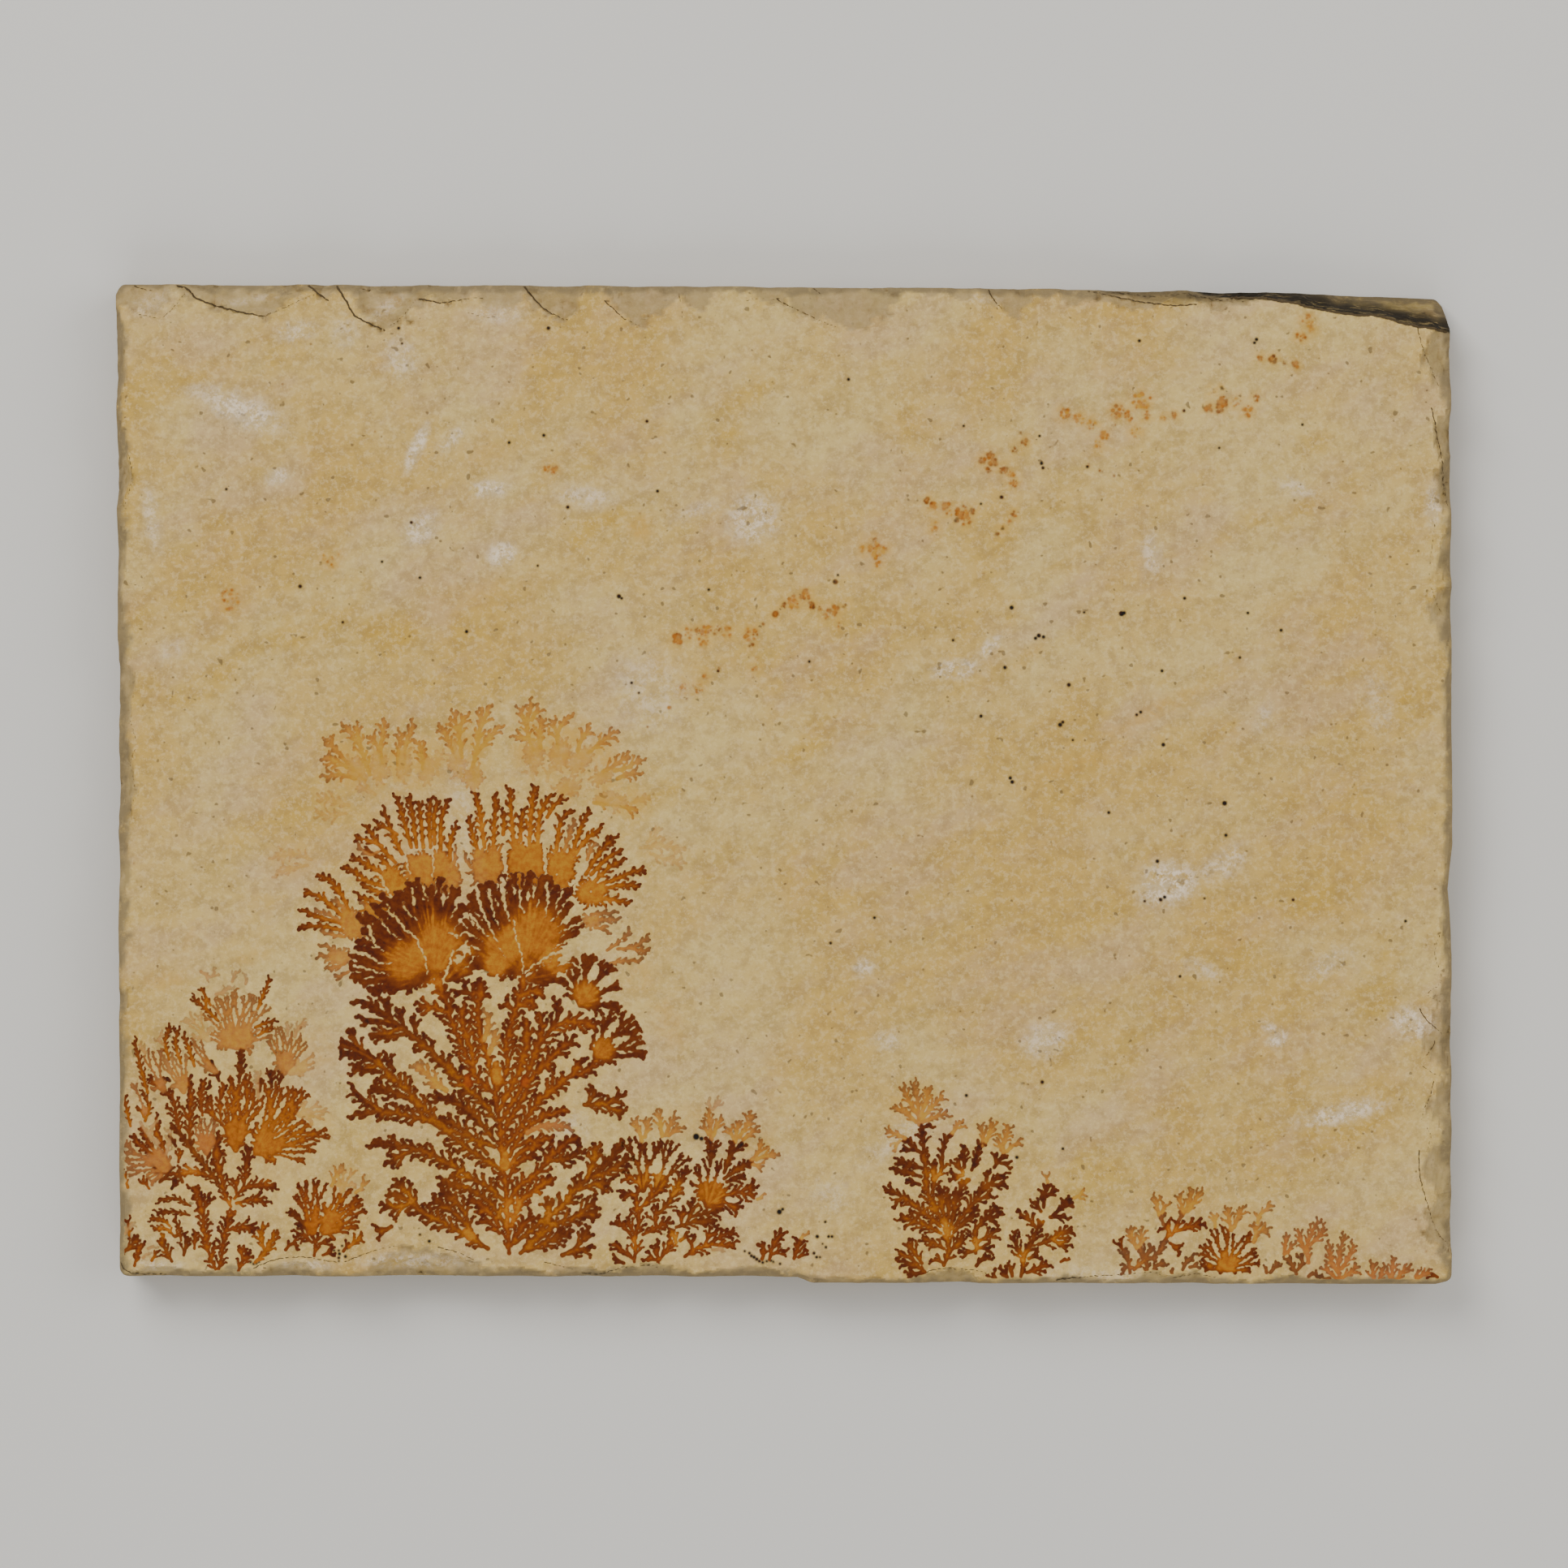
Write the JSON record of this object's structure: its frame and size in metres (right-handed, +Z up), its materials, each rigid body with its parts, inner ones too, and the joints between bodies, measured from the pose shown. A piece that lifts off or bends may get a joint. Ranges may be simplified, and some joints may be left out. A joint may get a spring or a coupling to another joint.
{
  "type": "pyrolusite dendrite specimen on limestone slab",
  "caption": "Flat, roughly rectangular plate of platy limestone with chipped edges, its face grown over with branching manganese and iron oxide dendrites; lies on its flat back.",
  "frame": {"origin": "middle of the underside, the face that the slab rests on", "axes": "+Z up, out of the dendrite face; +X along the long edge; +Y towards the edge that the dendrites grow up to"},
  "size_m": [0.201, 0.1504, 0.01],
  "materials": {
    "limestone": "matt, split along the bedding",
    "dendrite_oxide": "thin dull oxide film, dark brown to orange"
  },
  "bodies": {
    "root": {"limestone_slab": "limestone"}
  },
  "joints": []
}
